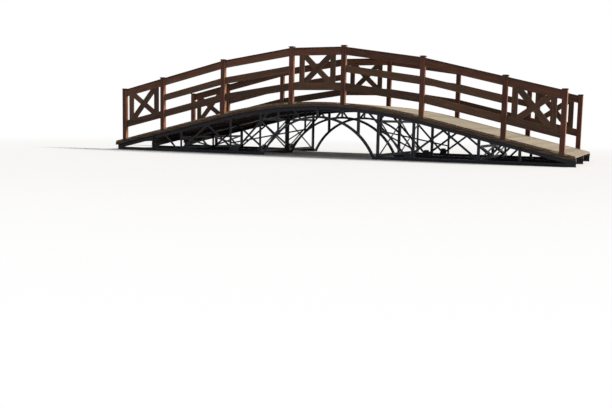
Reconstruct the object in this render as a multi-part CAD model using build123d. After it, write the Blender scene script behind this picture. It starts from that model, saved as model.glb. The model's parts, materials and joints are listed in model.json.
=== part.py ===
"""Arched timber footbridge carried by three steel girders, in millimetres.

X runs along the bridge, Y across it and Z up. Z = 0 is the underside of the
steel bottom chords, and X = Y = 0 is the middle of the span.
"""
import os
from math import atan2, cos, degrees, hypot, sin, sqrt, tan

from build123d import *

# Walking surface: a curved crown between two straight ramps
bridge_length = 9960
crown_height = 1110
end_height = 195
crown_half_length = 2200

# Boards laid across, as one deck with an open joint from above between each two
board_thickness = 35
board_pitch = 145
board_gap = 8
board_gap_depth = 25

# Railing posts; the bays between the centre ones and the outer ones take what is left
post_size = 95
post_height = 1120
rail_line_spacing = 2780
centre_bay = 1134
outer_bay = 1538
end_bay = 1031
end_post_inset = 242
notch_clearance = 3
post_cap_overhang = 7
post_cap_thickness = 18
post_cap_chamfer = 6

# Rails, with the height of each underside above the boards
rail_thickness = 45
lower_rail_height = 245
lower_rail_depth = 150
middle_rail_height = 600
middle_rail_depth = 135
top_rail_height = 932
top_rail_depth = 134
handrail_width = 90
handrail_thickness = 22

# Braced panels in the centre bay and the end bays
braced_bays = (1, 4, 7)
braced_panel_width = 780
stile_width = 105
brace_width = 110

# Timber bearers between the boards and the steel
bearer_depth = 55
edge_bearer_width = 140
centre_bearer_width = 100

# Steel girders
girder_inset = 86
steel_width = 56
steel_plate = 8
top_chord_depth = 75
bottom_chord_depth = 60
arch_crown_gap = 117
arch_radius = 1350
arch_depth = 46
upright_width = 48
web_brace_width = 40
web_brace_thickness = 14
gusset_width = 190
gusset_top_width = 95
gusset_height = 110
bar_thickness = 6
joint_plate_thickness = 6
joint_plate_lip = 40

# Distances of the inner uprights and web nodes from midspan, or from the arch's foot
haunch_upright = 880
springing_gap = 50
web_node = 1900
ramp_upright = 2010
web_peak = 2590
spandrel_brace_top = 520
spandrel_brace_foot = 390
inner_brace_top = 1120

# Distances of the outer uprights and web nodes from the ends of the bridge
outer_upright_inset = 1720
outer_brace_inset = 1595
outer_peak_inset = 1320
end_upright_inset = 975

# Cross frames between the girders
tie_size = 50
tie_gap = 10
upper_tie_drop = 75
cross_brace_width = 36

# Round struts between the outer girders' ramp uprights and the middle girder's haunch uprights
lateral_strut_diameter = 30
lateral_strut_foot = 226
lateral_strut_lift = 33

half_length = bridge_length / 2
rail_line = rail_line_spacing / 2
deck_edge = rail_line + post_size / 2
bearer_top = board_thickness
steel_top = bearer_top + bearer_depth
steel_bottom = steel_top + top_chord_depth
girder_face = deck_edge - girder_inset
arch_rise = crown_height - steel_bottom - arch_crown_gap
arch_centre = arch_rise - arch_radius
arch_half_span = sqrt(arch_radius ** 2 - arch_centre ** 2)

centre_post = centre_bay / 2
end_post = half_length - end_post_inset
outer_post = end_post - end_bay
inner_post = outer_post - outer_bay
post_places = [-end_post, -outer_post, -inner_post, -centre_post,
               centre_post, inner_post, outer_post, end_post]

springing_upright = arch_half_span + springing_gap
outer_upright = half_length - outer_upright_inset
outer_brace_foot = half_length - outer_brace_inset
outer_peak = half_length - outer_peak_inset
end_upright = half_length - end_upright_inset
web_brace_layer = bar_thickness, bar_thickness + web_brace_thickness


def find_ramp_angle():
    """Angle at which ramps tangent to the crown reach the end height."""
    drop = crown_height - end_height
    angle = 0
    for _ in range(30):
        ramp_drop = drop - crown_half_length * tan(angle / 2)
        angle = atan2(ramp_drop, half_length - crown_half_length)
    return angle


ramp_angle = find_ramp_angle()
crown_radius = crown_half_length / sin(ramp_angle)


def surface(x, depth=0):
    """Height at x of the line that lies depth below the walking surface."""
    radius = crown_radius - depth
    bend = radius * sin(ramp_angle)
    middle = crown_height - crown_radius
    if abs(x) <= bend:
        return middle + sqrt(radius ** 2 - x ** 2)
    return middle + radius * cos(ramp_angle) - (abs(x) - bend) * tan(ramp_angle)


def surface_place(along):
    """Point of the walking surface at a distance from the crown along it, and its fall there."""
    reach = min(abs(along), crown_radius * ramp_angle)
    straight = abs(along) - reach
    angle = reach / crown_radius
    x = crown_radius * sin(angle) + straight * cos(ramp_angle)
    z = crown_height - crown_radius * (1 - cos(angle)) - straight * sin(ramp_angle)
    if along < 0:
        return -x, z, -angle
    return x, z, angle


def surface_line(depth):
    """Edges of the deck's curve, depth below the surface, from end to end."""
    bend = (crown_radius - depth) * sin(ramp_angle)
    places = (-half_length, -bend, 0, bend, half_length)
    left_end, left_bend, crown, right_bend, right_end = [(x, 0, surface(x, depth)) for x in places]
    return [Line(left_end, left_bend), ThreePointArc(left_bend, crown, right_bend),
            Line(right_bend, right_end)]


def across(edges, y_low, y_high):
    """Solid between two Y values whose side is the outline given in the XZ plane."""
    face = Face(Wire(edges)).moved(Location((0, y_low, 0)))
    return extrude(face, amount=y_high - y_low, dir=(0, 1, 0))


def polygon_across(points, y_low, y_high):
    """Solid between two Y values with straight sides through the XZ points."""
    corners = [(x, 0, z) for x, z in points]
    edges = [Line(corners[i - 1], corners[i]) for i in range(len(corners))]
    return across(edges, y_low, y_high)


def curved_strip(shallow, deep, y_low, y_high):
    """Strip that follows the whole deck between two depths below its surface."""
    ends = [Line((x, 0, surface(x, shallow)), (x, 0, surface(x, deep)))
            for x in (-half_length, half_length)]
    return across(surface_line(shallow) + surface_line(deep) + ends, y_low, y_high)


def between_levels(depth, level):
    """Everything between a level and the line that lies depth below the surface."""
    left = Line((-half_length, 0, surface(half_length, depth)), (-half_length, 0, level))
    right = Line((half_length, 0, surface(half_length, depth)), (half_length, 0, level))
    flat = Line((-half_length, 0, level), (half_length, 0, level))
    return across(surface_line(depth) + [left, right, flat], -deck_edge, deck_edge)


def block(x_low, x_high, y_low, y_high, z_low, z_high):
    size = (x_high - x_low, y_high - y_low, z_high - z_low)
    middle = ((x_high + x_low) / 2, (y_high + y_low) / 2, (z_high + z_low) / 2)
    return Pos(*middle) * Box(*size)


def arch_cylinder(radius):
    """Solid cylinder about the arch's axis, as wide as the bridge."""
    disc = Rot(90, 0, 0) * Cylinder(radius, 2 * deck_edge)
    return Pos(0, 0, arch_centre) * disc


def make_post(x, y):
    """Square post that stands on the bearer and carries a flat cap."""
    top = surface(x) + post_height
    half = post_size / 2
    cap_half = half + post_cap_overhang
    foot = surface(x, bearer_top) - post_size
    shaft = block(x - half, x + half, y - half, y + half, foot, top - post_cap_thickness)
    shaft = shaft & between_levels(bearer_top, top)
    cap = block(x - cap_half, x + cap_half, y - cap_half, y + cap_half, top - post_cap_thickness, top)
    cap = chamfer(cap.faces().sort_by(Axis.Z)[-1].edges(), post_cap_chamfer)
    return shaft + cap


def make_rail(x_left, x_right, height, depth, y, thickness=rail_thickness):
    """Straight rail between two posts, at one height above the boards at both."""
    slope = (surface(x_right) - surface(x_left)) / (x_right - x_left)
    start = x_left + post_size / 2
    end = x_right - post_size / 2
    low = surface(x_left) + slope * post_size / 2 + height
    high = low + slope * (end - start)
    points = [(start, low), (end, high), (end, high + depth), (start, low + depth)]
    return polygon_across(points, y - thickness / 2, y + thickness / 2)


def make_top_rail(x_left, x_right, y):
    """Top rail with the handrail board that lies on it."""
    rail = make_rail(x_left, x_right, top_rail_height, top_rail_depth, y)
    handrail_height = top_rail_height + top_rail_depth
    board = make_rail(x_left, x_right, handrail_height, handrail_thickness, y, handrail_width)
    return rail + board


def make_railed_bay(x_left, x_right, y):
    """Three separate rails between two posts."""
    lower = make_rail(x_left, x_right, lower_rail_height, lower_rail_depth, y)
    middle = make_rail(x_left, x_right, middle_rail_height, middle_rail_depth, y)
    return Compound(children=[lower, middle, make_top_rail(x_left, x_right, y)])


def bar_between(start, end, width, y_low, y_high):
    """Bar in an XZ plane between two points, longer by its width at each end."""
    run = end[0] - start[0]
    rise = end[1] - start[1]
    length = hypot(run, rise) + 2 * width
    middle = ((start[0] + end[0]) / 2, (y_low + y_high) / 2, (start[1] + end[1]) / 2)
    bar = Box(length, y_high - y_low, width)
    return Pos(*middle) * Rot(0, -degrees(atan2(rise, run)), 0) * bar


def make_braced_bay(x_left, x_right, y):
    """Top and bottom rails, two stiles and two crossing braces, joined as one frame."""
    lower_top = lower_rail_height + lower_rail_depth
    slope = (surface(x_right) - surface(x_left)) / (x_right - x_left)
    middle_x = (x_left + x_right) / 2
    base = (surface(x_left) + surface(x_right)) / 2
    y_low = y - rail_thickness / 2
    y_high = y + rail_thickness / 2

    def height_at(x, height):
        return base + slope * (x - middle_x) + height

    def upright_band(x_low, x_high):
        points = [(x_low, height_at(x_low, lower_top)), (x_high, height_at(x_high, lower_top)),
                  (x_high, height_at(x_high, top_rail_height)), (x_low, height_at(x_low, top_rail_height))]
        return polygon_across(points, y_low, y_high)

    frame = make_rail(x_left, x_right, lower_rail_height, lower_rail_depth, y)
    frame = frame + make_top_rail(x_left, x_right, y)
    panel_low = middle_x - braced_panel_width / 2
    panel_high = middle_x + braced_panel_width / 2
    inner_low = panel_low + stile_width
    inner_high = panel_high - stile_width
    frame = frame + upright_band(panel_low, inner_low) + upright_band(inner_high, panel_high)
    field = upright_band(inner_low, inner_high)
    low_left = (inner_low, height_at(inner_low, lower_top))
    low_right = (inner_high, height_at(inner_high, lower_top))
    high_left = (inner_low, height_at(inner_low, top_rail_height))
    high_right = (inner_high, height_at(inner_high, top_rail_height))
    for start, end in [(low_left, high_right), (high_left, low_right)]:
        brace = bar_between(start, end, brace_width, y_low, y_high)
        frame = frame + (brace & field)
    return frame


def make_board_joints():
    """What the open joints between the boards take out of the deck."""
    straight = (half_length - crown_half_length) / cos(ramp_angle)
    deck_length = 2 * (crown_radius * ramp_angle + straight)
    board_count = round(deck_length / board_pitch)
    joint = Box(board_gap, 2 * deck_edge + board_gap, 2 * board_gap_depth)
    joints = []
    for number in range(1, board_count):
        x, z, fall = surface_place(deck_length * (number / board_count - 0.5))
        joints.append(Pos(x, 0, z) * Rot(0, degrees(fall), 0) * joint)
    return joints


def make_deck():
    """Boarded surface, notched round every post."""
    deck = curved_strip(0, bearer_top, -deck_edge, deck_edge) - make_board_joints()
    half = post_size / 2 + notch_clearance
    for y in (-rail_line, rail_line):
        for x in post_places:
            deck = deck - block(x - half, x + half, y - half, y + half,
                                surface(x) - post_size, surface(x) + post_size)
    return deck


def make_bearer(y_low, y_high):
    """Curved timber bearer under the boards."""
    return curved_strip(bearer_top, steel_top, y_low, y_high)


def plate_side(face_y, inward, low, high):
    """Y limits of a plate that lies between two distances in from a girder's face."""
    return sorted((face_y + inward * low, face_y + inward * high))


def make_top_chord(face_y, inward, side):
    """Half of the curved channel, from the crown's joint plates to the bottom chord."""
    flange_limits = plate_side(face_y, inward, 0, steel_width)
    web = curved_strip(steel_top, steel_bottom, *plate_side(face_y, inward, 0, steel_plate))
    top_flange = curved_strip(steel_top, steel_top + steel_plate, *flange_limits)
    low_flange = curved_strip(steel_bottom - steel_plate, steel_bottom, *flange_limits)
    x_low, x_high = sorted((side * joint_plate_thickness, side * half_length))
    half = block(x_low, x_high, -deck_edge, deck_edge, bottom_chord_depth, crown_height)
    return (web + top_flange + low_flange) & half


def web_zone():
    """Space that the web fills: between the chords and outside the arch."""
    ground = block(-half_length, half_length, -deck_edge, deck_edge, -2 * crown_height, bottom_chord_depth)
    return between_levels(steel_bottom, -crown_height) - ground - arch_cylinder(arch_radius)


def make_upright(x, face_y, inward, side):
    """Angle-section upright, taller than its place, with its outstanding leg outboard."""
    low = x - upright_width / 2
    high = x + upright_width / 2
    front = plate_side(face_y, inward, 0, bar_thickness)
    depth = plate_side(face_y, inward, 0, steel_width)
    face_leg = block(low, high, *front, 0, crown_height)
    if side > 0:
        side_leg = block(high - bar_thickness, high, *depth, 0, crown_height)
    else:
        side_leg = block(low, low + bar_thickness, *depth, 0, crown_height)
    return face_leg + side_leg


def make_joint_plate(low, high, z_low, y_limits):
    """Upright plate across the girder that reaches up to the top of the top chord."""
    points = [(low, z_low), (high, z_low), (high, surface(high, steel_top)), (low, surface(low, steel_top))]
    return polygon_across(points, *y_limits)


def make_truss(face_y, inward, side, zone):
    """Half of a girder's web with its bottom chord, on one side of the arch."""
    layer = plate_side(face_y, inward, *web_brace_layer)
    foot = bottom_chord_depth

    def foot_at(x):
        return side * x, foot

    def head_at(x):
        return side * x, surface(x, steel_bottom)

    truss = make_upright(side * springing_upright, face_y, inward, side)
    for x in (ramp_upright, outer_upright, end_upright):
        truss = truss + make_upright(side * x, face_y, inward, side)
    runs = [(head_at(inner_brace_top), foot_at(web_node)),
            (foot_at(web_node), head_at(web_peak)),
            (head_at(web_peak), foot_at(outer_upright)),
            (foot_at(outer_brace_foot), head_at(outer_peak))]
    for start, end in runs:
        truss = truss + bar_between(start, end, web_brace_width, *layer)
    foot_half = gusset_width / 2
    top_half = gusset_top_width / 2
    gusset = polygon_across([(side * (web_node - foot_half), 0), (side * (web_node + foot_half), 0),
                             (side * (web_node + top_half), foot + gusset_height),
                             (side * (web_node - top_half), foot + gusset_height)], *layer)
    truss = (truss + gusset) & zone

    chord_limits = plate_side(face_y, inward, 0, steel_width)
    x_low, x_high = sorted((side * (arch_half_span - arch_depth), side * half_length))
    web = block(x_low, x_high, *plate_side(face_y, inward, 0, steel_plate), 0, foot)
    base = block(x_low, x_high, *chord_limits, 0, steel_plate)
    cap = block(x_low, x_high, *chord_limits, foot - steel_plate, foot)
    chord = (web + base + cap) - arch_cylinder(arch_radius)
    lip = plate_side(face_y, inward, -joint_plate_lip, 0)
    plate_low, plate_high = sorted((side * (end_upright - joint_plate_thickness),
                                    side * (end_upright + joint_plate_thickness)))
    return truss + chord + make_joint_plate(plate_low, plate_high, 0, lip)


def make_arch(face_y, inward, side, zone):
    """Half of the angle-section arch rib, with its end plate and the bars up to the top chord."""
    x_low, x_high = sorted((0, side * half_length))
    face_leg = arch_cylinder(arch_radius) - arch_cylinder(arch_radius - arch_depth)
    face_limits = plate_side(face_y, inward, 0, steel_plate)
    face_leg = face_leg & block(x_low, x_high, *face_limits, 0, crown_height)
    flange = arch_cylinder(arch_radius) - arch_cylinder(arch_radius - steel_plate)
    flange_limits = plate_side(face_y, inward, 0, steel_width)
    flange = flange & block(x_low, x_high, *flange_limits, 0, crown_height)

    upright = make_upright(side * haunch_upright, face_y, inward, side)
    foot_height = arch_centre + sqrt(arch_radius ** 2 - spandrel_brace_foot ** 2)
    foot = (side * spandrel_brace_foot, foot_height)
    head = (side * spandrel_brace_top, surface(spandrel_brace_top, steel_bottom))
    layer = plate_side(face_y, inward, *web_brace_layer)
    bars = upright + bar_between(foot, head, web_brace_width, *layer)

    plate_low, plate_high = sorted((0, side * joint_plate_thickness))
    plate_limits = plate_side(face_y, inward, -joint_plate_lip, steel_width)
    plate = make_joint_plate(plate_low, plate_high, arch_rise - arch_depth, plate_limits)
    return face_leg + flange + (bars & zone) + plate


def make_cross_frame(x, side):
    """Ties and crossing braces between the girders, beside one upright of each."""
    face = x + upright_width / 2 + tie_gap
    x_low, x_high = sorted((side * face, side * (face + bar_thickness)))
    leg_low, leg_high = sorted((side * face, side * (face + tie_size)))
    inner = girder_face
    foot = bottom_chord_depth
    upper = surface(face + tie_size, steel_bottom) - upper_tie_drop
    upper_edge = inner - steel_width
    frame = block(x_low, x_high, -inner, inner, foot, foot + tie_size)
    frame = frame + block(leg_low, leg_high, -inner, inner, foot, foot + bar_thickness)
    frame = frame + block(x_low, x_high, -upper_edge, upper_edge, upper - tie_size, upper)
    edge = inner - steel_width / 2
    low = foot + tie_size / 2
    high = upper - tie_size / 2
    for middle_y in (-edge / 2, edge / 2):
        for rise in (high - low, low - high):
            brace = Box(x_high - x_low, hypot(edge, rise), cross_brace_width)
            brace = Rot(degrees(atan2(rise, edge)), 0, 0) * brace
            frame = frame + Pos((x_low + x_high) / 2, middle_y, (low + high) / 2) * brace
    return frame


def round_bar(start, end):
    """Round bar about the line between two points, longer than it at both ends."""
    axis = Vector(*end) - Vector(*start)
    middle = (Vector(*start) + Vector(*end)) / 2
    length = axis.length + 4 * lateral_strut_diameter
    return Plane(origin=middle, z_dir=axis) * Cylinder(lateral_strut_diameter / 2, length)


def make_lateral_struts():
    """Struts that end on the legs of the uprights: flat on a face leg, or on a side leg."""
    foot_x = ramp_upright - bar_thickness / 2
    foot_y = girder_face - bar_thickness
    head_z = arch_centre + sqrt(arch_radius ** 2 - haunch_upright ** 2) + lateral_strut_lift
    side_leg = haunch_upright + upright_width / 2
    front_bay = block(-half_length, half_length, -foot_y, -steel_width / 2, 0, crown_height)
    struts = []
    for side in (-1, 1):
        strut = round_bar((side * foot_x, -foot_y, lateral_strut_foot),
                          (side * haunch_upright, -steel_width / 2, head_z))
        struts.append(strut & front_bay)
        x_low, x_high = sorted((side * side_leg, side * half_length))
        rear_bay = block(x_low, x_high, -steel_width / 2, foot_y, 0, crown_height)
        strut = round_bar((side * foot_x, foot_y, lateral_strut_foot), (side * side_leg, 0, head_z))
        struts.append(strut & rear_bay)
    return Compound(children=struts)


def save(shape, name):
    solids = shape.solids()
    result = solids[0] if len(solids) == 1 else Compound(children=solids)
    export_step(result, os.path.join("parts", name + ".step"))


def main():
    os.makedirs("parts", exist_ok=True)
    for line_name, y in (("front", -rail_line), ("rear", rail_line)):
        for number, x in enumerate(post_places, 1):
            save(make_post(x, y), f"{line_name}_post_{number}")
        for number in range(1, len(post_places)):
            make_bay = make_braced_bay if number in braced_bays else make_railed_bay
            bay = make_bay(post_places[number - 1], post_places[number], y)
            save(bay, f"{line_name}_railing_{number}")

    save(make_deck(), "deck")
    save(make_bearer(-deck_edge, -deck_edge + edge_bearer_width), "front_bearer")
    save(make_bearer(deck_edge - edge_bearer_width, deck_edge), "rear_bearer")
    save(make_bearer(-centre_bearer_width / 2, centre_bearer_width / 2), "centre_bearer")

    zone = web_zone()
    girders = [("front", -girder_face, 1), ("middle", -steel_width / 2, 1), ("rear", girder_face, -1)]
    for girder, face_y, inward in girders:
        for side_name, side in (("left", -1), ("right", 1)):
            save(make_arch(face_y, inward, side, zone), f"{girder}_{side_name}_arch")
            save(make_top_chord(face_y, inward, side), f"{girder}_{side_name}_top_chord")
            save(make_truss(face_y, inward, side, zone), f"{girder}_{side_name}_truss")

    frames = [(outer_upright, -1), (springing_upright, -1), (springing_upright, 1), (outer_upright, 1)]
    for number, (x, side) in enumerate(frames, 1):
        save(make_cross_frame(x, side), f"cross_frame_{number}")
    save(make_lateral_struts(), "lateral_struts")


if __name__ == "__main__":
    main()
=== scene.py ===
"""Arched timber footbridge on steel girders: boards, posts, rails, bolts and finishes."""
import json
import math
import random

import bpy
from mathutils import Matrix, Vector

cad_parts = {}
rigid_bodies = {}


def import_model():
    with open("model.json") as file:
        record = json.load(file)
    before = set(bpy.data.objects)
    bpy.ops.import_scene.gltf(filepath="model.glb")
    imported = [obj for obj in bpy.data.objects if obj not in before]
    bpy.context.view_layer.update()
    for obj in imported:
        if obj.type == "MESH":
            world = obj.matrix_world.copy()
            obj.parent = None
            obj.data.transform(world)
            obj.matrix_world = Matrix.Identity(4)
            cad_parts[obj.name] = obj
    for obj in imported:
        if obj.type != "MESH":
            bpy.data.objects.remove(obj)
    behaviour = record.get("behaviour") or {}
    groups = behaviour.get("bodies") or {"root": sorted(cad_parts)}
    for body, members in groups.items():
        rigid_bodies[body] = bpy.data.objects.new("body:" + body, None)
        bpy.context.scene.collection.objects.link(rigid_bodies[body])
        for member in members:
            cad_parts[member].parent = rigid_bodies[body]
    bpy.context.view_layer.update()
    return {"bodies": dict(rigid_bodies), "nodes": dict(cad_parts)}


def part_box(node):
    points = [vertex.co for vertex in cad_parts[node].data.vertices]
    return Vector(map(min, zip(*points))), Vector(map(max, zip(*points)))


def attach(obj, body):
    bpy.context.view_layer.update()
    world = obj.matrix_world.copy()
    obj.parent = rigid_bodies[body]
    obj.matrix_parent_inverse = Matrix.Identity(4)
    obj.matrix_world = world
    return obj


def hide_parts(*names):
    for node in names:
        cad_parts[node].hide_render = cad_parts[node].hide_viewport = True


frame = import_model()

chance = random.Random(7)
BODY = next(iter(frame["bodies"]))

# Sizes in metres, the same as in the part's source
POST_SIZE = 0.095
POST_HEIGHT = 1.12
CAP_OVERHANG = 0.007
CAP_THICKNESS = 0.018
CAP_CHAMFER = 0.006
RAIL_THICKNESS = 0.045
LOWER_RAIL = 0.245, 0.150
MIDDLE_RAIL = 0.600, 0.135
TOP_RAIL = 0.932, 0.134
HANDRAIL_WIDTH = 0.090
HANDRAIL_THICKNESS = 0.022
PANEL_WIDTH = 0.780
STILE_WIDTH = 0.105
BRACE_WIDTH = 0.110
BRACED_BAYS = (1, 4, 7)
BOARD_THICKNESS = 0.035
BOARD_PITCH = 0.145
BOARD_GAP = 0.008
NOTCH_CLEARANCE = 0.003
BEARER_DEPTH = 0.055
EDGE_BEARER_WIDTH = 0.140
STEEL_WIDTH = 0.056
STEEL_PLATE = 0.008
JOINT_LIP = 0.040
JOINT_PLATE = 0.006
GIRDER_INSET = 0.086
END_UPRIGHT_INSET = 0.975
CROWN_HALF_LENGTH = 2.2
END_HEIGHT = 0.195

# Sizes of what only this scene adds
EASED_EDGE = 0.003
POST_CHAMFER = 0.012
CAP_EDGE = 0.001
CAP_FLAT = 0.62 * (POST_SIZE + 2 * CAP_OVERHANG)
HANDRAIL_EDGE = HANDRAIL_THICKNESS / 5
BRACE_RECESS = 0.003
DECK_END_CLEARANCE = 0.001
BOARD_END_CLEARANCE = 0.002
BOARD_SETTLING = 0.001
BOARD_TILT = 0.004
SCREW_RADIUS = 0.006
SCREW_HEAD = 0.003
SCREW_SINKING = 0.0001
SCREW_CROWN = 0.0006
SCREW_CROWN_RIM = 0.2 * SCREW_RADIUS
SCREW_RECESS = 0.0012
SCREW_RECESS_RIM = 0.35 * SCREW_RADIUS
SCREW_RECESS_WALL = 0.05 * SCREW_RADIUS
EDGE_SCREW_INSET = 0.62 * EDGE_BEARER_WIDTH
CENTRE_SCREW_LINE = 0.02
SCREW_TO_POST = 0.75 * POST_SIZE
BOLT_RADIUS = 0.013
BOLT_HEAD = 0.009
BOLT_CHAMFER = 0.0012
WASHER_RADIUS = 1.35 * BOLT_RADIUS
WASHER_THICKNESS = 0.003
CROWN_BOLT_HEIGHTS = (0.82, 0.90, 0.98)
END_BOLT_HEIGHTS = (0.03, 0.16, 0.27)
FLANGE_BOLT_REACH = 4.2
FLANGE_BOLT_SPACING = 0.62

_, deck_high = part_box("deck")
HALF_LENGTH = deck_high.x
DECK_EDGE = deck_high.y
CROWN_HEIGHT = deck_high.z
GIRDER_FACE = DECK_EDGE - GIRDER_INSET


def find_ramp_angle():
    """Angle at which ramps tangent to the crown reach the end height."""
    angle = 0
    for _ in range(30):
        ramp_drop = CROWN_HEIGHT - END_HEIGHT - CROWN_HALF_LENGTH * math.tan(angle / 2)
        angle = math.atan2(ramp_drop, HALF_LENGTH - CROWN_HALF_LENGTH)
    return angle


RAMP_ANGLE = find_ramp_angle()
CROWN_RADIUS = CROWN_HALF_LENGTH / math.sin(RAMP_ANGLE)
CROWN_ARC = CROWN_RADIUS * RAMP_ANGLE


def surface_point(along, depth=0.0):
    """Point in the XZ plane at a distance along the boards from the crown, and the slope there."""
    reach = min(abs(along), CROWN_ARC)
    angle = reach / CROWN_RADIUS
    x = (CROWN_RADIUS - depth) * math.sin(angle)
    z = CROWN_HEIGHT - CROWN_RADIUS + (CROWN_RADIUS - depth) * math.cos(angle)
    straight = abs(along) - reach
    x += straight * math.cos(RAMP_ANGLE)
    z -= straight * math.sin(RAMP_ANGLE)
    side = math.copysign(1, along)
    return side * x, z, side * angle


def along_of(x):
    """Distance along the boards from the crown of the point above x."""
    if abs(x) <= CROWN_HALF_LENGTH:
        return CROWN_RADIUS * math.asin(x / CROWN_RADIUS)
    straight = (abs(x) - CROWN_HALF_LENGTH) / math.cos(RAMP_ANGLE)
    return math.copysign(CROWN_ARC + straight, x)


# Selecting, placing and joining

def select_only(*pieces):
    bpy.ops.object.select_all(action="DESELECT")
    for piece in pieces:
        piece.select_set(True)
    bpy.context.view_layer.objects.active = pieces[0]


def select_tops(piece):
    """Selects the faces that look up and leaves the piece in edit mode."""
    select_only(piece)
    bpy.ops.object.mode_set(mode="EDIT")
    bpy.ops.mesh.select_all(action="DESELECT")
    bpy.ops.object.mode_set(mode="OBJECT")
    for face in piece.data.polygons:
        face.select = face.normal.z > 0.99
    bpy.ops.object.mode_set(mode="EDIT")
    bpy.ops.mesh.select_mode(type="FACE")


def join(pieces, name):
    """Makes one object of one or more pieces and names it."""
    select_only(*pieces)
    if len(pieces) > 1:
        bpy.ops.object.join()
    piece = bpy.context.object
    piece.name = name
    piece.data.name = name
    return piece


def in_plane(x, y, z, angle):
    """Place at a point, turned in the XZ plane so that positive angles fall towards +X."""
    return Matrix.Translation((x, y, z)) @ Matrix.Rotation(angle, 4, "Y")


def finish_piece(piece, replaces=()):
    """Gives a finished piece its body and the nodes that it takes the place of."""
    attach(piece, BODY)
    if replaces:
        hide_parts(*replaces)


def cut(piece, point, normal):
    """Saws off what lies on the normal's side of a plane and closes the cut."""
    select_only(piece)
    bpy.ops.object.mode_set(mode="EDIT")
    bpy.ops.mesh.select_all(action="SELECT")
    bpy.ops.mesh.bisect(plane_co=point, plane_no=normal, use_fill=True, clear_outer=True)
    bpy.ops.object.mode_set(mode="OBJECT")


# Timber

def timber(length, width, depth, edge=EASED_EDGE):
    """Sawn timber along X about the origin, with eased edges."""
    bpy.ops.object.select_all(action="DESELECT")
    bpy.ops.mesh.primitive_cube_add(size=1)
    piece = bpy.context.object
    piece.scale = (length, width, depth)
    bpy.ops.object.transform_apply(location=False, rotation=False, scale=True)
    bpy.ops.object.mode_set(mode="EDIT")
    bpy.ops.mesh.select_all(action="SELECT")
    bpy.ops.mesh.bevel(offset=edge, segments=2, profile=0.6, affect="EDGES")
    bpy.ops.object.mode_set(mode="OBJECT")
    return piece


def mark_grain(piece, length, width, depth):
    """Writes where each point lies in its own timber, and in the log that it was sawn from."""
    along_log = chance.uniform(-9, 9)
    beside_heart = chance.uniform(-0.11, 0.11)
    above_heart = chance.uniform(0.02, 0.12)
    shift = Vector((along_log, beside_heart, above_heart))
    tone = chance.random()
    mesh = piece.data
    values = {"grain": [vertex.co + shift for vertex in mesh.vertices],
              "section": [vertex.co for vertex in mesh.vertices],
              "half": [Vector((length, width, depth)) / 2] * len(mesh.vertices)}
    for name, vectors in values.items():
        layer = mesh.attributes.new(name, "FLOAT_VECTOR", "POINT")
        layer.data.foreach_set("vector", [number for vector in vectors for number in vector])
    layer = mesh.attributes.new("tone", "FLOAT", "POINT")
    layer.data.foreach_set("value", [tone] * len(mesh.vertices))


def placed_timber(wood, length, width, depth, place, edge=EASED_EDGE):
    """Timber of one wood with its grain marked, then moved to its place."""
    piece = timber(length, width, depth, edge)
    piece.data.materials.append(wood)
    mark_grain(piece, length, width, depth)
    piece.data.transform(place)
    return piece


# Posts

def post_facts(side, number):
    """Middle of a post in X and Y, and the height of the boards there."""
    low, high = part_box(f"{side}_post_{number}")
    return (low.x + high.x) / 2, (low.y + high.y) / 2, high.z - POST_HEIGHT


def make_post(side, number):
    """Shaft with chamfered edges, sawn at its foot to the slope of the bearer that it stands on."""
    x, y, _ = post_facts(side, number)
    low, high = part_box(f"{side}_post_{number}")
    top = high.z - CAP_THICKNESS
    place = in_plane(x, y, (top + low.z) / 2, -math.pi / 2)
    shaft = placed_timber(post_wood, top - low.z, POST_SIZE, POST_SIZE, place, POST_CHAMFER)
    foot_x, foot_z, slope = surface_point(along_of(x), BOARD_THICKNESS)
    cut(shaft, (foot_x, y, foot_z), (-math.sin(slope), 0, -math.cos(slope)))
    shaft = join([shaft], f"{side}_post_{number}_shaft")
    finish_piece(shaft, [f"{side}_post_{number}"])


def make_cap(side, number):
    """Post cap that is flat in the middle and falls away to its edges."""
    x, y, _ = post_facts(side, number)
    _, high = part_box(f"{side}_post_{number}")
    size = POST_SIZE + 2 * CAP_OVERHANG
    cap = timber(size, size, CAP_THICKNESS, CAP_EDGE)
    select_tops(cap)
    bpy.ops.mesh.extrude_region_move(TRANSFORM_OT_translate={"value": (0, 0, 0)})
    bpy.ops.transform.resize(value=(CAP_FLAT / size, CAP_FLAT / size, 1))
    bpy.ops.object.mode_set(mode="OBJECT")
    for vertex in cap.data.vertices:
        outer = max(abs(vertex.co.x), abs(vertex.co.y)) > (size + CAP_FLAT) / 4
        if vertex.co.z > 0 and outer:
            vertex.co.z -= CAP_CHAMFER
    mark_grain(cap, size, size, CAP_THICKNESS)
    cap.data.materials.append(cap_wood)
    cap.data.transform(Matrix.Translation((x, y, high.z - CAP_THICKNESS / 2)))
    cap = join([cap], f"{side}_post_{number}_cap")
    finish_piece(cap)


# Railings

def rail_piece(wood, left, right, y, rail, thickness=RAIL_THICKNESS, edge=EASED_EDGE):
    """Rail between two posts, sawn plumb at both; left and right are (x, board height)."""
    height, depth = rail
    slope = math.atan2(right[1] - left[1], right[0] - left[0])
    start = left[0] + POST_SIZE / 2
    end = right[0] - POST_SIZE / 2
    middle = (left[0] + right[0]) / 2
    base = (left[1] + right[1]) / 2
    true_depth = depth * math.cos(slope)
    length = (end - start) / math.cos(slope) + 2 * depth
    place = in_plane(middle, y, base + height + depth / 2, -slope)
    piece = placed_timber(wood, length, thickness, true_depth, place, edge)
    cut(piece, (start, y, base), (-1, 0, 0))
    cut(piece, (end, y, base), (1, 0, 0))
    return piece


def top_rail_pieces(left, right, y):
    """Top rail and the handrail board that lies on it."""
    handrail = TOP_RAIL[0] + TOP_RAIL[1], HANDRAIL_THICKNESS
    return [rail_piece(top_rail_wood, left, right, y, TOP_RAIL),
            rail_piece(cap_wood, left, right, y, handrail, HANDRAIL_WIDTH, HANDRAIL_EDGE)]


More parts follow.
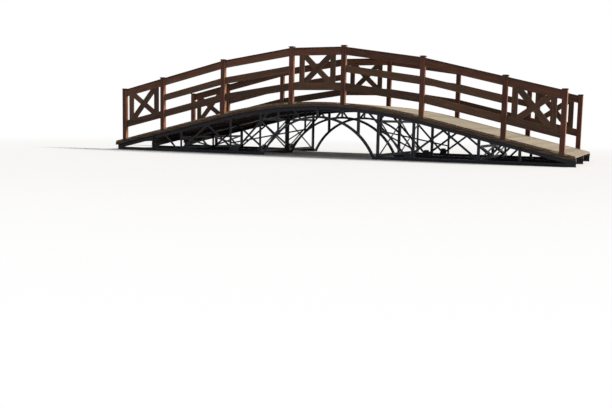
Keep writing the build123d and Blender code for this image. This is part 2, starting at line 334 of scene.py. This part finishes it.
def make_railed_bay(name, left, right, y):
    """Lower, middle and top rail between two posts."""
    pieces = [rail_piece(rail_wood, left, right, y, rail) for rail in (LOWER_RAIL, MIDDLE_RAIL)]
    bay = join(pieces + top_rail_pieces(left, right, y), f"{name}_rails")
    finish_piece(bay, [name])


def make_braced_bay(name, left, right, y):
    """Lower and top rail, with two stiles and two crossing braces between them."""
    slope = (right[1] - left[1]) / (right[0] - left[0])
    angle = math.atan(slope)
    upwards = Vector((-math.sin(angle), 0, math.cos(angle)))
    middle = (left[0] + right[0]) / 2
    base = (left[1] + right[1]) / 2
    low = LOWER_RAIL[0] + LOWER_RAIL[1]
    high = TOP_RAIL[0]
    crossing = Vector((middle, y, base + (low + high) / 2))

    def fit_between_rails(piece):
        """Saws a piece off at the lower and the top rail."""
        cut(piece, (middle, y, base + low), -upwards)
        cut(piece, (middle, y, base + high), upwards)

    def stile(side):
        """Upright at the left or right end of the braced panel."""
        x = middle + side * (PANEL_WIDTH - STILE_WIDTH) / 2
        z = crossing.z + slope * (x - middle)
        place = in_plane(x, y, z, -math.pi / 2)
        length = high - low + STILE_WIDTH
        piece = placed_timber(rail_wood, length, RAIL_THICKNESS - BRACE_RECESS, STILE_WIDTH, place)
        fit_between_rails(piece)
        return piece

    def brace(direction):
        """Brace from corner to corner that rises by direction towards +X, and its cross direction."""
        run = PANEL_WIDTH - 2 * STILE_WIDTH
        climb = direction * (high - low) + slope * run
        turn = math.atan2(climb, run)
        length = math.hypot(run, climb) + 2 * BRACE_WIDTH
        place = in_plane(*crossing, -turn)
        piece = placed_timber(rail_wood, length, RAIL_THICKNESS - 2 * BRACE_RECESS, BRACE_WIDTH, place)
        for side in (-1, 1):
            cut(piece, (middle + side * run / 2, y, base), (side, 0, 0))
        fit_between_rails(piece)
        return piece, Vector((-math.sin(turn), 0, math.cos(turn)))

    pieces = [rail_piece(rail_wood, left, right, y, LOWER_RAIL)] + top_rail_pieces(left, right, y)
    pieces += [stile(side) for side in (-1, 1)]
    rising, across = brace(1)
    pieces.append(rising)
    # The falling brace is two halves, sawn to meet the rising one
    for side in (-1, 1):
        falling, _ = brace(-1)
        cut(falling, crossing + side * across * BRACE_WIDTH / 2, -side * across)
        pieces.append(falling)
    bay = join(pieces, f"{name}_frame")
    finish_piece(bay, [name])


def make_railings():
    """The seven bays of each side, from the left."""
    for side in ("front", "rear"):
        posts = [post_facts(side, number) for number in range(1, 9)]
        y = posts[0][1]
        for number in range(1, 8):
            left = posts[number - 1][0], posts[number - 1][2]
            right = posts[number][0], posts[number][2]
            make_bay = make_braced_bay if number in BRACED_BAYS else make_railed_bay
            make_bay(f"{side}_railing_{number}", left, right, y)


# Deck

def make_notch_cutter():
    """One block round every post, to saw the boards' notches with."""
    opening = POST_SIZE + 2 * NOTCH_CLEARANCE
    height = 2 * POST_SIZE
    blocks = []
    for side in ("front", "rear"):
        for number in range(1, 9):
            bpy.ops.mesh.primitive_cube_add(size=1)
            block = bpy.context.object
            block.data.transform(Matrix.Diagonal((opening, opening, height, 1)))
            block.data.transform(Matrix.Translation(post_facts(side, number)))
            blocks.append(block)
    return join(blocks, "notches")


def make_deck():
    """Boards laid side by side across the bearers; returns where each lies, and their pitch."""
    total = 2 * (along_of(HALF_LENGTH) - DECK_END_CLEARANCE)
    count = round(total / BOARD_PITCH)
    pitch = total / count
    size = 2 * (DECK_EDGE - BOARD_END_CLEARANCE), pitch - BOARD_GAP, BOARD_THICKNESS - BOARD_SETTLING
    master = timber(*size)
    master.data.materials.append(board_wood)
    cutter = make_notch_cutter()

    boards = []
    places = []
    for index in range(count):
        along = -total / 2 + pitch * (index + 0.5)
        x, z, slope = surface_point(along, (BOARD_THICKNESS + BOARD_SETTLING) / 2)
        board = master.copy()
        board.data = master.data.copy()
        bpy.context.collection.objects.link(board)
        mark_grain(board, *size)
        z += chance.uniform(-BOARD_SETTLING, 0.0)
        slope += chance.uniform(-BOARD_TILT, BOARD_TILT)
        board.data.transform(in_plane(x, 0, z, slope) @ Matrix.Rotation(math.pi / 2, 4, "Z"))
        boards.append(board)
        places.append((along, slope))
    bpy.data.objects.remove(master)
    deck = join(boards, "deck_planking")
    carve = deck.modifiers.new("notches", "BOOLEAN")
    carve.operation = "DIFFERENCE"
    carve.solver = "EXACT"
    carve.object = cutter
    select_only(deck)
    bpy.ops.object.modifier_apply(modifier="notches")
    bpy.data.objects.remove(cutter)
    finish_piece(deck, ["deck"])
    return places, pitch


# Screws and bolts

def screw_master():
    """Countersunk screw head with a low crown and a recess in its middle."""
    bpy.ops.object.select_all(action="DESELECT")
    bpy.ops.mesh.primitive_cylinder_add(vertices=12, radius=SCREW_RADIUS, depth=SCREW_HEAD)
    head = bpy.context.object
    select_tops(head)
    bpy.ops.mesh.inset(thickness=SCREW_CROWN_RIM, depth=SCREW_CROWN)
    bpy.ops.mesh.inset(thickness=SCREW_RECESS_RIM, depth=0)
    bpy.ops.mesh.inset(thickness=SCREW_RECESS_WALL, depth=-SCREW_RECESS)
    bpy.ops.object.mode_set(mode="OBJECT")
    return head


def bolt_master():
    """Hexagon head on a round washer, with its axis along Z and its seat at Z = 0."""
    bpy.ops.object.select_all(action="DESELECT")
    bpy.ops.mesh.primitive_cylinder_add(vertices=20, radius=WASHER_RADIUS, depth=WASHER_THICKNESS,
                                        location=(0, 0, WASHER_THICKNESS / 2))
    washer = bpy.context.object
    bpy.ops.object.transform_apply(location=True)
    bpy.ops.mesh.primitive_cylinder_add(vertices=6, radius=BOLT_RADIUS, depth=BOLT_HEAD,
                                        location=(0, 0, WASHER_THICKNESS + BOLT_HEAD / 2))
    head = bpy.context.object
    bpy.ops.object.transform_apply(location=True)
    bpy.ops.object.mode_set(mode="EDIT")
    bpy.ops.mesh.select_all(action="SELECT")
    bpy.ops.mesh.bevel(offset=BOLT_CHAMFER, segments=1, affect="EDGES")
    bpy.ops.object.mode_set(mode="OBJECT")
    return join([washer, head], "bolt")


def copies_at(master, places, name, material):
    """One object made of a copy of the master at every place."""
    pieces = []
    for place in places:
        piece = master.copy()
        piece.data = master.data.copy()
        bpy.context.collection.objects.link(piece)
        piece.data.transform(place)
        pieces.append(piece)
    bpy.data.objects.remove(master)
    group = join(pieces, name)
    group.data.materials.append(material)
    finish_piece(group)


def deck_screw_places(boards, pitch):
    """Two screws in every board over each bearer, clear of the posts."""
    edge_line = DECK_EDGE - EDGE_SCREW_INSET
    posts = [post_facts("front", number)[0] for number in range(1, 9)]
    places = []
    for along, slope in boards:
        for offset in (-pitch / 4, pitch / 4):
            x, z, _ = surface_point(along + offset, SCREW_HEAD / 2 + SCREW_SINKING)
            clear = min(abs(x - post) for post in posts) > SCREW_TO_POST
            for y in (-edge_line, CENTRE_SCREW_LINE, edge_line):
                if clear or y == CENTRE_SCREW_LINE:
                    places.append(in_plane(x, y, z, slope))
    return places


def girder_bolt_places():
    """Bolts through the joint plates' lips and up through the top chords' flanges."""
    end_joint = HALF_LENGTH - END_UPRIGHT_INSET
    joints = [(0.0, CROWN_BOLT_HEIGHTS), (-end_joint, END_BOLT_HEIGHTS), (end_joint, END_BOLT_HEIGHTS)]
    flange_depth = BOARD_THICKNESS + BEARER_DEPTH + STEEL_PLATE
    reach = along_of(FLANGE_BOLT_REACH)
    count = round(2 * reach / FLANGE_BOLT_SPACING)
    places = []
    for face, inward in ((-GIRDER_FACE, 1), (-STEEL_WIDTH / 2, 1), (GIRDER_FACE, -1)):
        lip = face - inward * JOINT_LIP / 2
        for x, heights in joints:
            for z in heights:
                for turn in (-1, 1):
                    places.append(in_plane(x + turn * JOINT_PLATE, lip, z, turn * math.pi / 2))
        flange = face + inward * (STEEL_WIDTH + STEEL_PLATE) / 2
        for index in range(count):
            along = -reach + (index + 0.5) * 2 * reach / count
            x, z, slope = surface_point(along, flange_depth)
            places.append(in_plane(x, flange, z, slope + math.pi))
    return places


# Materials

# One cycle of a wave texture is 0.314 m long at scale 1
WAVE_LENGTH = 0.314
# How much farther the figure runs along a timber than across it
FIGURE_STRETCH = 12.5
# How far the darkest and the palest timber are apart, on the scale from 0 to 1 of the colour stops
TONE_SPREAD = 0.22


def colour(code):
    """Linear colour of an sRGB hex code."""
    channels = [int(code[start:start + 2], 16) / 255 for start in (1, 3, 5)]
    linear = [c / 12.92 if c <= 0.04045 else ((c + 0.055) / 1.055) ** 2.4 for c in channels]
    return (*linear, 1.0)


def add_node(tree, kind, inputs=None, stops=None, **settings):
    """Adds a node with its settings; inputs are values or the sockets that feed them."""
    node = tree.nodes.new(kind)
    for name, value in settings.items():
        setattr(node, name, value)
    for socket, value in (inputs or {}).items():
        if isinstance(value, bpy.types.NodeSocket):
            tree.links.new(value, node.inputs[socket])
        else:
            node.inputs[socket].default_value = value
    if stops:
        elements = node.color_ramp.elements
        while len(elements) < len(stops):
            elements.new(0.5)
        for element, (position, code) in zip(elements, stops):
            element.position = position
            element.color = colour(code)
    return node


def new_material(name):
    material = bpy.data.materials.new(name)
    material.use_nodes = True
    tree = material.node_tree
    tree.nodes.clear()
    shader = add_node(tree, "ShaderNodeBsdfPrincipled")
    output = add_node(tree, "ShaderNodeOutputMaterial")
    tree.links.new(shader.outputs["BSDF"], output.inputs["Surface"])
    return material, tree, shader


def add_shares(tree, parts, start=0.0):
    """Sum of several values, each times its share, and a start value."""
    total = start
    for value, share in parts:
        step = {0: value, 1: share, 2: total}
        total = add_node(tree, "ShaderNodeMath", step, operation="MULTIPLY_ADD").outputs[0]
    return total


def lay_coats(tree, base, coats):
    """Colours laid over the base in turn, each up to its share as its value goes from start to end."""
    for value, start, end, share, code in coats:
        cover = add_node(tree, "ShaderNodeMapRange", {0: value, 1: start, 2: end, 4: share}).outputs[0]
        step = {0: cover, 6: base, 7: colour(code)}
        base = add_node(tree, "ShaderNodeMix", step, data_type="RGBA").outputs[2]
    return base


def timber_distances(tree):
    """Distances of a point from the sawn ends and from the nearest edge of its own timber."""
    section = add_node(tree, "ShaderNodeAttribute", attribute_name="section").outputs["Vector"]
    half = add_node(tree, "ShaderNodeAttribute", attribute_name="half").outputs["Vector"]
    reach = add_node(tree, "ShaderNodeVectorMath", {0: section}, operation="ABSOLUTE").outputs[0]
    inset = add_node(tree, "ShaderNodeVectorMath", {0: half, 1: reach}, operation="SUBTRACT").outputs[0]
    from_end, from_side, from_face = add_node(tree, "ShaderNodeSeparateXYZ", {0: inset}).outputs
    # An edge is where two of the three distances are small, so the middle one tells how near it is
    nearer = add_node(tree, "ShaderNodeMath", {0: from_end, 1: from_side}, operation="MINIMUM")
    farther = add_node(tree, "ShaderNodeMath", {0: from_end, 1: from_side}, operation="MAXIMUM")
    lower = add_node(tree, "ShaderNodeMath", {0: farther.outputs[0], 1: from_face}, operation="MINIMUM")
    middle = {0: nearer.outputs[0], 1: lower.outputs[0]}
    from_edge = add_node(tree, "ShaderNodeMath", middle, operation="MAXIMUM").outputs[0]
    return from_end, from_edge


def wood_material(name, stops, faded_and_painted_sun, underside_colour, worn, dirt, end_grain_and_shade, roughness,
                  from_object=False, fade_top=0.5, painted_sun_share=0.0, wear_share=0.5, dirt_share=0.5):
    """Softwood whose grain follows each timber, with weathered tops, painted sunlight on faces towards +X, a
    colour of its own on faces that look down, worn edges, dirt, and end grain darkened with painted shade.
    """
    material, tree, shader = new_material(name)
    if from_object:
        grain = add_node(tree, "ShaderNodeTexCoord").outputs["Object"]
    else:
        grain = add_node(tree, "ShaderNodeAttribute", attribute_name="grain").outputs["Vector"]
    # Rings, streaks and fibres run along the timber
    stretch = {"Vector": grain, "Scale": (1 / FIGURE_STRETCH, 1, 1)}
    drawn = add_node(tree, "ShaderNodeMapping", stretch).outputs[0]
    # Growth rings 4 mm apart are too fine to show, so they are drawn 11 mm apart
    ring_settings = {"Vector": drawn, "Scale": WAVE_LENGTH / 0.011, "Distortion": 5.0,
                     "Detail": 2.0, "Detail Scale": 1.6}
    rings = add_node(tree, "ShaderNodeTexWave", ring_settings,
                     wave_type="RINGS", rings_direction="X").outputs["Fac"]
    # Streaks of stain are 16 mm wide and patches of weather 0.28 m; fibres are far finer than
    # a pixel, so they are drawn 2.5 mm wide
    patterns = []
    for place, size, detail in ((drawn, 0.016, 4.0), (drawn, 0.0025, 2.0), (grain, 0.28, 3.0)):
        noise_settings = {"Vector": place, "Scale": 1 / size, "Detail": detail}
        patterns.append(add_node(tree, "ShaderNodeTexNoise", noise_settings).outputs["Fac"])
    streaks, fibres, patches = patterns

    figure = add_shares(tree, [(rings, 0.22), (streaks, 0.62), (fibres, 0.16)])
    if not from_object:
        # No two timbers take the stain alike
        tone = add_node(tree, "ShaderNodeAttribute", attribute_name="tone").outputs["Fac"]
        figure = add_shares(tree, [(tone, TONE_SPREAD), (figure, 1.0)], -TONE_SPREAD / 2)
    base = add_node(tree, "ShaderNodeValToRGB", {"Fac": figure}, stops=stops).outputs["Color"]

    # Rain and sun fade, in patches, what faces up. Faces towards the sunny end (+X) get painted sunlight in
    # the same pale colour and patches.
    normal = add_node(tree, "ShaderNodeNewGeometry").outputs["Normal"]
    sunwards, _, upwards = add_node(tree, "ShaderNodeSeparateXYZ", {0: normal}).outputs
    top = add_node(tree, "ShaderNodeMapRange", {0: upwards, 1: 0.55, 2: 0.95, 4: fade_top})
    sunny = add_node(tree, "ShaderNodeMapRange", {0: sunwards, 1: 0.3, 2: 0.7, 4: painted_sun_share})
    patchy = add_node(tree, "ShaderNodeMapRange", {0: patches, 1: 0.35, 2: 0.7, 3: 0.45})
    weathered_and_painted_sun = add_node(tree, "ShaderNodeMath", {0: top.outputs[0], 1: sunny.outputs[0]}, operation="MAXIMUM")
    bleached_and_painted_sun = add_node(tree, "ShaderNodeMath", {0: weathered_and_painted_sun.outputs[0], 1: patchy.outputs[0]},
                        operation="MULTIPLY").outputs[0]
    # Faces that look down are drawn in a colour of their own, and dirt gathers in patches
    coats = [(bleached_and_painted_sun, 0.0, 1.0, 1.0, faded_and_painted_sun), (upwards, -0.6, -0.95, 0.7, underside_colour),
             (patches, 0.5, 0.68, dirt_share, dirt)]
    if not from_object:
        # Sawn ends go dark with end grain and with painted shade, and edges wear in chips along the streaks
        from_end, from_edge = timber_distances(tree)
        chips = add_shares(tree, [(streaks, 0.012), (from_edge, -1.0)])
        coats += [(from_end, 0.003, 0.001, 0.9, end_grain_and_shade), (chips, -0.002, 0.005, wear_share, worn)]
    tree.links.new(lay_coats(tree, base, coats), shader.inputs["Base Color"])

    gloss = {0: figure, 1: 0.3, 2: 0.7, 3: roughness + 0.08, 4: roughness - 0.08}
    rough = add_node(tree, "ShaderNodeMapRange", gloss).outputs[0]
    tree.links.new(rough, shader.inputs["Roughness"])
    shader.inputs["IOR"].default_value = 1.5
    # Open, dry fibres shine less than a smooth face of the same wood
    shader.inputs["Specular IOR Level"].default_value = 0.2
    height = add_shares(tree, [(fibres, 0.6), (rings, 0.4)])
    bump = add_node(tree, "ShaderNodeBump", {"Height": height, "Strength": 0.55, "Distance": 0.0008})
    tree.links.new(bump.outputs[0], shader.inputs["Normal"])
    return material


def make_painted_steel():
    """Dark blue-grey alkyd paint on rolled steel, dulled; its blue tint also paints a bluish sheen, its dust
    above also paints a highlight, and it is chalky with painted sunlight on the side towards +X.
    """
    material, tree, shader = new_material("dark_alkyd_paint_on_steel")
    place = add_node(tree, "ShaderNodeTexCoord").outputs["Object"]
    # Uneven coats 0.2 m across, and grit and rust specks 12 mm across
    patterns = []
    for size, detail in ((0.2, 5.0), (0.012, 4.0)):
        noise_settings = {"Vector": place, "Scale": 1 / size, "Detail": detail}
        patterns.append(add_node(tree, "ShaderNodeTexNoise", noise_settings).outputs["Fac"])
    uneven, specks = patterns
    # Blue-grey coats, whose blue tint also paints the sky's bluish sheen
    base = add_node(tree, "ShaderNodeValToRGB", {"Fac": uneven},
                    stops=[(0.3, "#0F1219"), (0.55, "#161923"), (0.75, "#20242E")]).outputs["Color"]
    normal = add_node(tree, "ShaderNodeNewGeometry").outputs["Normal"]
    sunwards, _, upwards = add_node(tree, "ShaderNodeSeparateXYZ", {0: normal}).outputs
    rust = add_node(tree, "ShaderNodeMath", {0: uneven, 1: specks}, operation="MULTIPLY").outputs[0]
    # Dust on faces that look up, which also paints a highlight there; chalk with painted sunlight on faces
    # towards +X; rust in specks
    coats = [(upwards, 0.2, 0.9, 0.5, "#6B6862"), (sunwards, 0.4, 0.95, 0.35, "#83868A"),
             (rust, 0.36, 0.43, 0.6, "#5A3423")]
    tree.links.new(lay_coats(tree, base, coats), shader.inputs["Base Color"])
    gloss = {0: uneven, 1: 0.3, 2: 0.7, 3: 0.36, 4: 0.55}
    rough = add_node(tree, "ShaderNodeMapRange", gloss).outputs[0]
    tree.links.new(rough, shader.inputs["Roughness"])
    shader.inputs["IOR"].default_value = 1.5
    # Chalked by weather, so it has less shine than fresh paint
    shader.inputs["Specular IOR Level"].default_value = 0.22
    bump = add_node(tree, "ShaderNodeBump", {"Height": specks, "Strength": 0.3, "Distance": 0.0004})
    tree.links.new(bump.outputs[0], shader.inputs["Normal"])
    return material


def make_galvanised_steel():
    """Hot-dip galvanised steel: a soft grey with spangles 4 mm across, dulled."""
    material, tree, shader = new_material("galvanised_steel")
    place = add_node(tree, "ShaderNodeTexCoord").outputs["Object"]
    spangle = add_node(tree, "ShaderNodeTexVoronoi", {"Vector": place, "Scale": 1 / 0.004}).outputs["Color"]
    tint = add_node(tree, "ShaderNodeMix", {0: 0.25, 6: colour("#8F9296"), 7: spangle},
                    data_type="RGBA", blend_type="OVERLAY").outputs[2]
    tree.links.new(tint, shader.inputs["Base Color"])
    shader.inputs["Metallic"].default_value = 1.0
    shader.inputs["Roughness"].default_value = 0.48
    return material


# Building

# Softwood with a red-brown translucent stain: satin, darker in the pores, pinkish where it wears thin; its
# pale pink weathered colour also paints sunlight on faces towards +X
post_wood = wood_material("red_brown_stained_post_pine",
                          [(0.25, "#2A1611"), (0.48, "#4B2A20"), (0.62, "#583427"), (0.8, "#6B4436")],
                          faded_and_painted_sun="#C8906F", underside_colour="#45211A", worn="#86533F", dirt="#3A251B",
                          end_grain_and_shade="#2E1C16", roughness=0.6, painted_sun_share=0.8, dirt_share=0.35)
# The rails' stain is browner and has gone olive with grime; faces towards +X get painted sunlight
rail_wood = wood_material("brown_stained_rail_pine",
                          [(0.25, "#241711"), (0.48, "#422C1F"), (0.62, "#503626"), (0.8, "#644733")],
                          faded_and_painted_sun="#82614B", underside_colour="#4A241B", worn="#6E4B38", dirt="#38321F",
                          end_grain_and_shade="#2A1E16", roughness=0.62, painted_sun_share=0.5, wear_share=0.35,
                          dirt_share=0.45)
# Top rails keep more of their red, under the handrail boards; faces towards +X get painted sunlight
top_rail_wood = wood_material("red_brown_stained_rail_pine",
                              [(0.25, "#2B1914"), (0.48, "#4D2E21"), (0.62, "#5B3828"), (0.8, "#704A36")],
                              faded_and_painted_sun="#8A614C", underside_colour="#50251C", worn="#76513D", dirt="#3D2F1E",
                              end_grain_and_shade="#2C1E17", roughness=0.62, painted_sun_share=0.5, wear_share=0.35)
# Handrail boards and post caps have a darker coat; faces towards +X get a little painted sunlight
cap_wood = wood_material("dark_stained_cap_pine",
                         [(0.25, "#1A0F0E"), (0.48, "#2F1C19"), (0.62, "#3B2420"), (0.8, "#4E352E")],
                         faded_and_painted_sun="#5A453B", underside_colour="#331A17", worn="#634236", dirt="#2A231D",
                         end_grain_and_shade="#241714", roughness=0.6, painted_sun_share=0.3, wear_share=0.15)
# Bare larch boards, silvered by rain and scuffed pale by feet, with painted shade on their dark sawn ends
board_wood = wood_material("weathered_larch_boards",
                           [(0.25, "#6B6051"), (0.48, "#93856F"), (0.62, "#A89A84"), (0.8, "#BEB29D")],
                           faded_and_painted_sun="#B2A692", underside_colour="#6E5C48", worn="#BCAF99", dirt="#7D7159",
                           end_grain_and_shade="#4C3D31", roughness=0.85, fade_top=0.6, dirt_share=0.3)
# Sawn larch under the boards, which stays damp and dark
bearer_wood = wood_material("damp_sawn_larch",
                            [(0.25, "#2E221A"), (0.48, "#483629"), (0.62, "#5A4736"), (0.8, "#6F5B47")],
                            faded_and_painted_sun="#65563F", underside_colour="#3A2C22", worn="#6F5B47", dirt="#2A211A",
                            end_grain_and_shade="#2E231B", roughness=0.8, from_object=True)
paint = make_painted_steel()
zinc = make_galvanised_steel()

for side in ("front", "rear"):
    for number in range(1, 9):
        make_post(side, number)
        make_cap(side, number)
make_railings()
board_places, board_pitch = make_deck()
copies_at(screw_master(), deck_screw_places(board_places, board_pitch), "deck_screws", zinc)
copies_at(bolt_master(), girder_bolt_places(), "girder_bolts", paint)

for name, node in frame["nodes"].items():
    if node.hide_render:
        continue
    node.data.materials.clear()
    node.data.materials.append(bearer_wood if name.endswith("bearer") else paint)


# Floor, light and camera

def white_where_seen(tree):
    """Factor that is 1 for what the camera sees, straight or in a reflection or through glass."""
    path = add_node(tree, "ShaderNodeLightPath").outputs
    seen = path["Is Camera Ray"]
    for ray in ("Is Glossy Ray", "Is Transmission Ray"):
        seen = add_node(tree, "ShaderNodeMath", {0: seen, 1: path[ray]}, operation="MAXIMUM").outputs[0]
    return seen


def make_floor():
    """Plain pale floor, wide enough for its edge to lie out of sight."""
    bpy.ops.object.select_all(action="DESELECT")
    bpy.ops.mesh.primitive_circle_add(vertices=96, radius=400, fill_type="NGON")
    floor = bpy.context.object
    floor.name = "floor"
    material, tree, shader = new_material("pale_floor")
    shader.inputs["Base Color"].default_value = colour("#F9FAFB")
    shader.inputs["Roughness"].default_value = 0.9
    shader.inputs["Specular IOR Level"].default_value = 0.0
    # Further out than the shadow reaches, the floor goes over into the white background
    shadow_reach = 6.5
    white_from = 15.0
    place = add_node(tree, "ShaderNodeTexCoord").outputs["Object"]
    distance = add_node(tree, "ShaderNodeVectorMath", {0: place}, operation="LENGTH").outputs["Value"]
    fade = add_node(tree, "ShaderNodeMapRange", {0: distance, 1: shadow_reach, 2: white_from},
                    interpolation_type="SMOOTHSTEP").outputs[0]
    seen = white_where_seen(tree)
    share = add_node(tree, "ShaderNodeMath", {0: fade, 1: seen}, operation="MULTIPLY").outputs[0]
    white = add_node(tree, "ShaderNodeEmission", {"Color": (1, 1, 1, 1), "Strength": 1.0}).outputs[0]
    both = add_node(tree, "ShaderNodeMixShader", {0: share, 1: shader.outputs[0], 2: white})
    output = next(node for node in tree.nodes if node.type == "OUTPUT_MATERIAL")
    tree.links.new(both.outputs[0], output.inputs["Surface"])
    floor.data.materials.append(material)


def make_light():
    """Even pale surroundings and one soft lamp from the right, a little behind."""
    world = bpy.data.worlds.new("studio")
    bpy.context.scene.world = world
    world.use_nodes = True
    tree = world.node_tree
    tree.nodes.clear()
    lit = add_node(tree, "ShaderNodeBackground", {"Color": colour("#F1F4F9"), "Strength": 0.30}).outputs[0]
    white = add_node(tree, "ShaderNodeBackground", {"Color": (1, 1, 1, 1), "Strength": 1.0}).outputs[0]
    both = add_node(tree, "ShaderNodeMixShader", {0: white_where_seen(tree), 1: lit, 2: white})
    add_node(tree, "ShaderNodeOutputWorld", {"Surface": both.outputs[0]})

    sun = bpy.data.lights.new("key", "SUN")
    sun.energy = 4.05
    sun.angle = math.radians(14)
    sun.color = colour("#FFFAF4")[:3]
    lamp = bpy.data.objects.new("key", sun)
    bpy.context.collection.objects.link(lamp)
    towards_sun = Vector((0.81, 0.14, 0.57))
    lamp.rotation_euler = towards_sun.to_track_quat("Z", "Y").to_euler()


def make_camera():
    """Camera at the photograph's place and angle, fitted to its 612 by 408 pixel frame."""
    position = Vector((6.3300, -15.5231, 0.7334))
    yaw = 0.4325
    pitch = -0.1086
    roll = 0.0187
    focal_pixels = 766.82
    frame_width = 612
    forward = Vector((-math.sin(yaw) * math.cos(pitch), math.cos(yaw) * math.cos(pitch), math.sin(pitch)))
    level_right = Vector((math.cos(yaw), math.sin(yaw), 0))
    level_up = level_right.cross(forward)
    right = math.cos(roll) * level_right + math.sin(roll) * level_up
    up = -math.sin(roll) * level_right + math.cos(roll) * level_up
    data = bpy.data.cameras.new("camera")
    data.sensor_width = 36
    data.lens = data.sensor_width * focal_pixels / frame_width
    camera = bpy.data.objects.new("camera", data)
    bpy.context.collection.objects.link(camera)
    turn = Matrix((right, up, -forward)).transposed().to_4x4()
    camera.matrix_world = Matrix.Translation(position) @ turn
    bpy.context.scene.camera = camera


make_floor()
make_light()
make_camera()
bpy.context.scene.view_settings.view_transform = "Standard"
